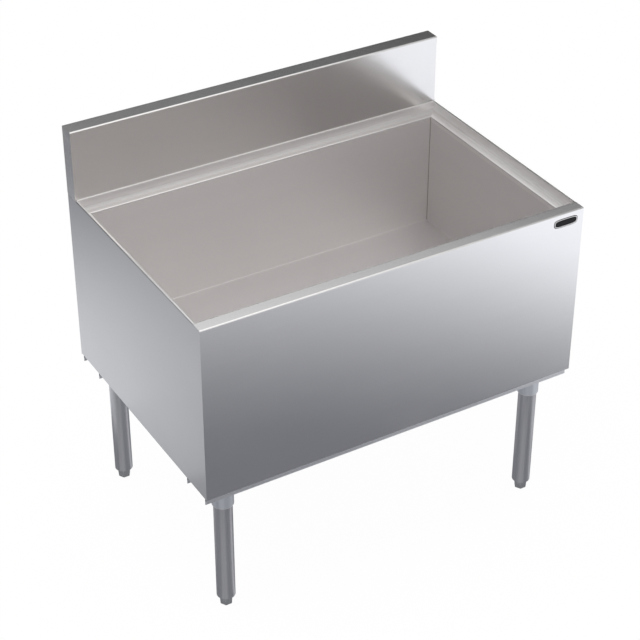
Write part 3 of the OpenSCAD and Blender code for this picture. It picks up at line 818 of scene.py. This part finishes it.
def drain_pipe(material):
    """Up the outside, thread first, over the top and back down the bore to where the outside starts."""
    angles = around(TURN_STEPS)
    centre = (0, DRAIN_Y)
    count = int((OUTLET_TOP - PIPE_LOW) / PIPE_PITCH * THREAD_ROWS)
    z = np.linspace(PIPE_LOW + THREAD_FROM, OUTLET_TOP, count)[:, None]
    radius = thread_radius(angles, z, OUTLET_R, PIPE_DEPTH, PIPE_PITCH, PIPE_LOW + THREAD_RISES,
                           OUTLET_TOP - THREAD_ENDS)
    low, high = WALL_AT
    profile = np.array([
        (OUTLET_TOP + SHOULDER_RISE, PIPE_R - SHOULDER_STEP), (OUTLET_TOP + PIPE_EASE, PIPE_R),
        (low, PIPE_R), (high, PIPE_R),
        (PIPE_TOP - PIPE_EASE, PIPE_R), (PIPE_TOP, PIPE_R - PIPE_EASE), (PIPE_TOP, PIPE_BORE + PIPE_EASE),
        (PIPE_TOP - PIPE_EASE, PIPE_BORE), (high, PIPE_BORE), (low, PIPE_BORE),
        (PIPE_LOW + PIPE_MOUTH, PIPE_BORE), (PIPE_LOW, PIPE_BORE + PIPE_MOUTH),
        (PIPE_LOW, OUTLET_R - PIPE_DEPTH - PIPE_MOUTH),
    ])
    rest = turned(profile[:, 1:] + 0 * angles, profile[:, :1], angles, centre)
    rings = np.concatenate([turned(radius, z, angles, centre), rest])
    piece = mesh_piece("threaded_drain_pipe", tube_surface(rings), "bin", material)
    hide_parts("drain_pipe")


# Weld seams

BEAD_SIDES = 10
BEAD_SHARP_FROM = 60
BEAD_PITCH = 3.0
WELD_RIPPLE = 0.1
SEAM_RIPPLE = 0.06
SEAM_STEP = 1.0
TANK_X = 433.0
TANK_FRONT = -274.8
TANK_REAR = 242.7
TANK_FLOOR = 462.0
TANK_BEND = 2.0
BEND_STEPS = 5
FLOOR_STEPS = 500
SEAM_TOP = 739.0
RIM_Z = 767.0
SPLASH_SEAM_X = 453.5
SPLASH_SEAM_Y = 264.3
FLOOR_BEAD = 0.9
CORNER_BEAD = 1.1
SPLASH_BEAD = 1.0
SOCKET_STEPS = 240
PLATE_WELD = (31.0, 345.3, 1.3)
TUBE_WELD = (23.8, 342.7, 1.8)


def bead(name, path, side, radius, material, closed=False, ripple=WELD_RIPPLE):
    """A round bead along a path.

    Its rings lie in the plane of the side and the tangent x side, and their radius swells and shrinks by
    the ripple's share as a cosine of the length run, once every pitch.
    """
    run = np.roll(path, -1, axis=0) - np.roll(path, 1, axis=0) if closed else np.gradient(path, axis=0)
    along = run / np.linalg.norm(run, axis=1, keepdims=True)
    up = np.cross(along, side)
    up /= np.linalg.norm(up, axis=1, keepdims=True)
    out = np.cross(up, along)
    step = np.linalg.norm(np.diff(path, axis=0, prepend=path[:1]), axis=1)
    size = radius * (1 + ripple * np.cos(2 * math.pi * np.cumsum(step) / BEAD_PITCH))
    turn = around(BEAD_SIDES)[0]
    rings = path[:, None] + size[:, None, None] * (
        np.cos(turn)[None, :, None] * out[:, None] + np.sin(turn)[None, :, None] * up[:, None])
    surface = tube_surface(rings) if closed else ring_surface(rings)
    mesh_piece(name, surface, "bin", material, BEAD_SHARP_FROM)


def seam(name, path, side, radius, material):
    """An open bead whose side is the same all along it."""
    bead(name, path, np.broadcast_to(side, path.shape), radius, material, ripple=SEAM_RIPPLE)


def straight(start, end):
    """Points along a line from one place to another, both in."""
    start, end = np.array(start, float), np.array(end, float)
    count = max(2, int(np.linalg.norm(end - start) / SEAM_STEP))
    return start + np.linspace(0, 1, count)[:, None] * (end - start)


def floor_seam_path(x):
    """Round a quarter circle out of the rear wall, along the floor and round another into the front wall."""
    low, quarter = TANK_FLOOR + TANK_BEND, np.linspace(0, math.pi / 2, BEND_STEPS)
    floor_y = np.linspace(TANK_REAR - TANK_BEND, TANK_FRONT + TANK_BEND, FLOOR_STEPS)[1:-1]
    y = np.concatenate([TANK_REAR - TANK_BEND + TANK_BEND * np.cos(quarter), floor_y,
                        TANK_FRONT + TANK_BEND - TANK_BEND * np.sin(quarter)])
    z = np.concatenate([low - TANK_BEND * np.sin(quarter), np.full(len(floor_y), TANK_FLOOR),
                        low - TANK_BEND * np.cos(quarter)])
    return np.stack([np.full(len(y), x), y, z], axis=-1)


def weld_seams(weld, tank, bright):
    """Beads in the tank's corners and along its floor, along the backsplash's foot and round the sockets."""
    across, deep = [1.0, 0, 0], [0, 1.0, 0]
    low = TANK_FLOOR + TANK_BEND
    for side, x in (("left", -TANK_X), ("right", TANK_X)):
        seam("tank_floor_seam_" + side, floor_seam_path(x), across, FLOOR_BEAD, tank)
        for end, y in (("front", TANK_FRONT), ("rear", TANK_REAR)):
            path = straight((x, y, low), (x, y, SEAM_TOP))
            seam("tank_corner_seam_%s_%s" % (end, side), path, across, CORNER_BEAD, weld)
    path = straight((-SPLASH_SEAM_X, SPLASH_SEAM_Y, RIM_Z), (SPLASH_SEAM_X, SPLASH_SEAM_Y, RIM_Z))
    seam("splash_foot_seam", path, deep, SPLASH_BEAD, bright)
    turn = around(SOCKET_STEPS)[0]
    out = np.stack([np.cos(turn), np.sin(turn), 0 * turn], axis=-1)
    for corner, (x, y) in LEG_AT.items():
        for kind, (radius, z, size) in (("plate", PLATE_WELD), ("tube", TUBE_WELD)):
            path = np.array([x, y, z]) + radius * out
            bead("socket_%s_weld_%s" % (kind, corner), path, out, size, weld, closed=True)


# Blank plate on the front: its dome is given as shares of the outline and of the thickness

PLATE_AT = (412.0, 745.0)
PLATE_HALF = (31.0, 11.0)
PLATE_BACK = -304.8
PLATE_THICK = 0.6
PLATE_INSET = 0.6
PLATE_POWER = 4
PLATE_STEPS = 128
RIM_INSET = 2.7
RIM_RADIUS = 0.9
DOME = np.array([
    (1, 0), (1, 0.5), (0.985, 0.7), (0.95, 0.8), (0.85, 0.88), (0.7, 0.94), (0.5, 0.98), (0.3, 1), (0.1, 1),
])


def plate_outline(turn, inset):
    """A rounded rectangle: where |x / half width|^4 + |z / half height|^4 is 1, each half less the inset."""
    c, s = np.cos(turn), np.sin(turn)
    reach = (np.abs(c) ** PLATE_POWER + np.abs(s) ** PLATE_POWER) ** (-1 / PLATE_POWER)
    return (PLATE_HALF[0] - inset) * reach * c, (PLATE_HALF[1] - inset) * reach * s


def blank_plate(enamel, rim):
    """The field is a low dome over the outline; the rim is a round bead let into it a little way inside."""
    turn = around(PLATE_STEPS)[0]
    share, lift = DOME[:, :1], DOME[:, 1:]
    x, z = plate_outline(turn, PLATE_INSET)
    y = PLATE_BACK - PLATE_THICK * lift + 0 * x
    rings = np.stack([PLATE_AT[0] + share * x, y, PLATE_AT[1] + share * z], axis=-1)
    mesh_piece("blank_plate", ring_surface(rings), "bin", enamel)
    x, z = plate_outline(turn, RIM_INSET)
    path = np.stack([PLATE_AT[0] + x, np.full_like(x, PLATE_BACK), PLATE_AT[1] + z], axis=-1)
    side = np.broadcast_to([0.0, -1.0, 0.0], path.shape)
    bead("blank_plate_rim", path, side, RIM_RADIUS, rim, closed=True, ripple=0.0)


# Studio: white around, a soft lamp overhead, and graded cards that only gloss sees

LIT_LEVEL = 1.0
FLOOR_SIZE = 40.0
FLOOR_COLOUR = (0.95, 0.95, 0.95, 1)
FLOOR_GLOW = 0.97
LAMP_AT = (-0.55, -0.1, 2.3)
LAMP_SIZE = (1.4, 1.0)
LAMP_POWER = 9.0
LAMP_TINT = (1.0, 0.965, 0.955)
COOL = (0.97, 0.988, 1.045, 1)
DIM_COOL = (0.942, 0.97, 1.085, 1)
DIM_LEVELS = (0.2, 0.5)
REAR_TINT = (0.99, 0.995, 1.01, 1)
CEILING_TINT = (1, 0.985, 0.98, 1)


def background_ray(nodes, links):
    """1 for a ray from the camera, off gloss or through glass, and 0 for any other."""
    path = nodes.new("ShaderNodeLightPath")
    either = path.outputs["Is Camera Ray"]
    for kind in ("Is Glossy Ray", "Is Transmission Ray"):
        most = nodes.new("ShaderNodeMath")
        most.operation = "MAXIMUM"
        links.new(either, most.inputs[0])
        links.new(path.outputs[kind], most.inputs[1])
        either = most.outputs[0]
    return either


def make_world():
    """White at strength 1 as a background, and at the lit level as light."""
    world = bpy.data.worlds.new("studio")
    world.use_nodes = True
    nodes, links = world.node_tree.nodes, world.node_tree.links
    nodes.clear()
    seen = nodes.new("ShaderNodeBackground")
    lit = nodes.new("ShaderNodeBackground")
    lit.inputs["Strength"].default_value = LIT_LEVEL
    for node in (seen, lit):
        node.inputs["Color"].default_value = WHITE
    mix = nodes.new("ShaderNodeMixShader")
    links.new(background_ray(nodes, links), mix.inputs[0])
    links.new(lit.outputs[0], mix.inputs[1])
    links.new(seen.outputs[0], mix.inputs[2])
    output = nodes.new("ShaderNodeOutputWorld")
    links.new(mix.outputs[0], output.inputs["Surface"])
    world.cycles.sampling_method = "NONE"
    bpy.context.scene.world = world


def make_floor():
    """A pale matt floor that is nearly white as a background and keeps the rest for the bin's shadow."""
    g = Graph("floor")
    matt = g.add("ShaderNodeBsdfDiffuse", {"Color": FLOOR_COLOUR})
    bright = g.add("ShaderNodeEmission", {"Color": WHITE, "Strength": 1.0})
    share = g.math("MULTIPLY", background_ray(g.nodes, g.links), FLOOR_GLOW)
    material = g.finish(g.add("ShaderNodeMixShader", {0: share, 1: matt.outputs[0], 2: bright.outputs[0]}))
    material.cycles.emission_sampling = "NONE"
    bpy.ops.mesh.primitive_plane_add(size=FLOOR_SIZE)
    floor = bpy.context.object
    floor.name = "floor"
    floor.data.materials.append(material)


def graded(g, at, level, slopes, bends=(0, 0, 0), twist=0.0):
    """A brightness: the level times e to a power.

    The power is the slopes times the way from one point, plus the bends times that way squared, plus the
    twist times the way across times the way deep.
    """
    way = g.place(origin=at)
    squared = g.vector("MULTIPLY", way, way)
    across, deep, _ = g.parts(way)
    power = g.math("ADD", g.math("ADD", g.dot(way, slopes), g.dot(squared, bends)),
                   g.math("MULTIPLY", g.math("MULTIPLY", across, deep), twist))
    return g.math("MULTIPLY", g.math("EXPONENT", power), level)


def stand_card(g, name, corners, strength, tint):
    """A flat card that glows with a strength and a tint, and that only gloss sees."""
    material = g.finish(g.add("ShaderNodeEmission", {"Color": tint, "Strength": strength}))
    material.cycles.emission_sampling = "NONE"
    mesh = bpy.data.meshes.new(name)
    mesh.from_pydata(corners, [], [tuple(range(len(corners)))])
    mesh.materials.append(material)
    card = bpy.data.objects.new(name, mesh)
    bpy.context.scene.collection.objects.link(card)
    for kind in ("camera", "diffuse", "transmission", "volume_scatter", "shadow"):
        setattr(card, "visible_" + kind, False)


def graded_card(name, corners, low, high, tint=None, **grading):
    """A card graded and held between low and high, and bluer where it is dim unless it has a tint."""
    g = Graph(name)
    strength = graded(g, **grading)
    if tint is None:
        tint = g.mix(g.ramp(strength, *DIM_LEVELS), DIM_COOL, COOL)
    stand_card(g, name, corners, g.math("MINIMUM", g.math("MAXIMUM", strength, low), high), tint)


def flat(x, y, z):
    """The corners of a level card between two places across and two deep, at one height."""
    return [(x[0], y[0], z), (x[1], y[0], z), (x[1], y[1], z), (x[0], y[1], z)]


REAR_AT = 2.0
REAR_MOST = 1.3
REAR_CORNERS = ((-3, REAR_AT, 0), (5, REAR_AT, 0), (5, REAR_AT, 4.5), (-3, REAR_AT, 4.5))
LOW_DOWN_FROM = (-1.6, -0.7)
LOW_DOWN_LEAST = 0.15


def rear_card():
    """Stands behind the bin: bright high up, for the bin's level sheets, and again low down, for its back."""
    g = Graph("rear_card")
    high_up = graded(g, at=(0.229, REAR_AT, 1.9), level=0.194, slopes=(-0.43, 0, 2.95), bends=(-0.19, 0, 0))
    high_up = g.math("MINIMUM", high_up, REAR_MOST)
    low_down = graded(g, at=(0, REAR_AT, 0), level=1.0, slopes=(0, 0, -1.9))
    across = g.parts(g.coords())[ACROSS]
    low_down = g.math("MULTIPLY", low_down, g.ramp(across, *LOW_DOWN_FROM, LOW_DOWN_LEAST, 1.0))
    stand_card(g, "rear_card", REAR_CORNERS, g.math("MAXIMUM", high_up, low_down), REAR_TINT)


STRIP_START = 0.03
STRIP_REACH = 0.42
LEG_STRIPS = (
    {"towards": 230, "half": 30, "level": 0.37},
    {"towards": 341, "half": 14, "level": 0.6},
)


def leg_strip(name, foot, height, towards, half, level):
    """A strip that fans out from a foot; its corners lie at its direction less and plus its half angle."""
    left, right = (np.array([math.cos(t), math.sin(t)]) for t in np.radians((towards - half, towards + half)))
    spots = (STRIP_START * left, STRIP_REACH * left, STRIP_REACH * right, STRIP_START * right)
    stand_card(Graph(name), name, [(*(foot + spot), height) for spot in spots], level, COOL)


def make_leg_strips(height):
    """Strips on the floor that give each round leg a soft and a sharp line of light."""
    for number, strip in enumerate(LEG_STRIPS):
        for corner in CORNERS:
            foot = np.array(LEG_AT[corner]) * MM
            leg_strip("leg_strip_%d_%s" % (number, corner), foot, height, **strip)


CARD_LIFT = 0.0005
CARD_SIDE = 0.6
CARD_FRONT = 0.5
CARD_NEAR = 0.1
NEAR_LEFT = -1.6
CEILING_AT = 2.7


def make_cards():
    """Cards on the floor round the bin, the rear card and one overhead, graded for what each sheet mirrors.

    Those on the floor lie one above another by a lift, so that none of them share a plane.
    """
    side, front, near, low = CARD_SIDE, CARD_FRONT, CARD_NEAR, CARD_LIFT
    graded_card("front_card", flat((-3, 4), (-4, -front), low), low=0.225, high=1.3,
                at=(0.57, -1.27, 0), level=0.703, slopes=(1.06, -1.03, 0), bends=(0.38, -0.48, 0), twist=0.74)
    graded_card("left_card", flat((-3, -side), (near, 3), low), low=0.25, high=1.1,
                at=(-0.87, 0.7, 0), level=0.594, slopes=(1.29, 0.16, 0), bends=(0.07, -0.72, 0), twist=0.86)
    graded_card("right_card", flat((side, 4), (-front, 3), low), low=0.25, high=0.8,
                at=(0.87, 0.5, 0), level=0.35, slopes=(-0.8, -0.4, 0))
    graded_card("rear_floor_card", flat((-side, side), (front, 3), low), low=0.3, high=1.0,
                at=(0, 1.2, 0), level=0.55, slopes=(0.4, -0.8, 0))
    # The near card lies under the bin and out to its left: a dim sheet that gloss sees in place of the
    # floor's shadow there, painted shadow.
    near_spots = ((NEAR_LEFT, -front), (side, -front), (side, front), (-side, front), (-side, near),
                  (NEAR_LEFT, near))
    graded_card("near_card", [(*spot, 2 * low) for spot in near_spots], low=0.2, high=0.3,
                at=(0, 0, 0), level=0.26, slopes=(0, 0, 0))
    make_leg_strips(3 * low)
    rear_card()
    graded_card("ceiling_card", flat((-4, 5), (-4, 1.2), CEILING_AT), low=0.16, high=2.0, tint=CEILING_TINT,
                at=(0.5, -1.1, 0), level=1.67, slopes=(0, 0, 0), bends=(-0.58, -0.1, 0))


def make_lamp():
    """One soft lamp overhead, which neither the camera nor gloss sees."""
    data = bpy.data.lights.new("lamp", "AREA")
    data.shape = "RECTANGLE"
    data.size, data.size_y = LAMP_SIZE
    data.energy = LAMP_POWER
    data.color = LAMP_TINT
    lamp = bpy.data.objects.new("lamp", data)
    lamp.location = LAMP_AT
    lamp.visible_camera = False
    lamp.visible_glossy = False
    bpy.context.scene.collection.objects.link(lamp)


make_camera()
bpy.context.scene.view_settings.view_transform = "Standard"
make_world()
make_floor()
make_cards()
make_lamp()
finishes = make_finishes()
dress(finishes)
for corner in CORNERS:
    levelling_foot(corner, finishes["cast"])
drain_pipe(finishes["turned"])
weld_seams(finishes["weld"], finishes["tank_end"], finishes["bright"])
blank_plate(finishes["enamel"], finishes["rim"])
